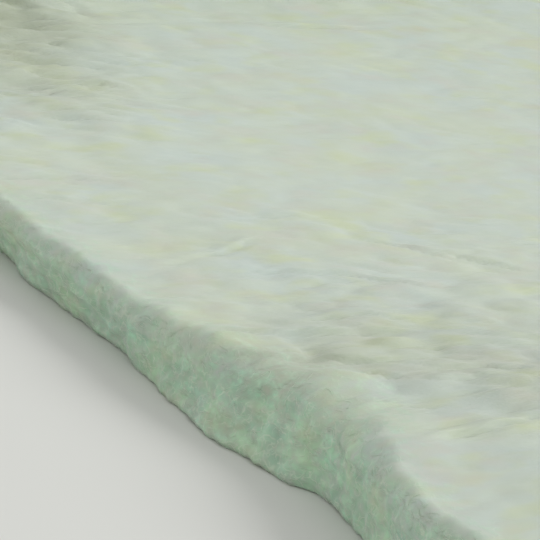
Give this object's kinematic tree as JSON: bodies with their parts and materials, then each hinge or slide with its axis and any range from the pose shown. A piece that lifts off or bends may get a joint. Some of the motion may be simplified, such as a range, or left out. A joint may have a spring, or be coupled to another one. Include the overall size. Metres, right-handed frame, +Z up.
{
  "type": "partly unrolled glass wool insulation roll",
  "caption": "Partly unrolled blanket of pale glass wool, its free end laid flat on the floor and the rest still wound in a soft roll with an open eye.",
  "frame": {"origin": "on the floor under the middle of the blanket's bounding box", "axes": "+X along the laid wool to its free end, +Y across the blanket, +Z up from the floor"},
  "size_m": [2.56, 1.2, 0.62],
  "materials": {
    "glass_wool": "matt felted glass fibre, pale cream-green, darker and greener on its cut edges"
  },
  "bodies": {
    "root": {"wool_blanket": "glass_wool"}
  },
  "joints": []
}
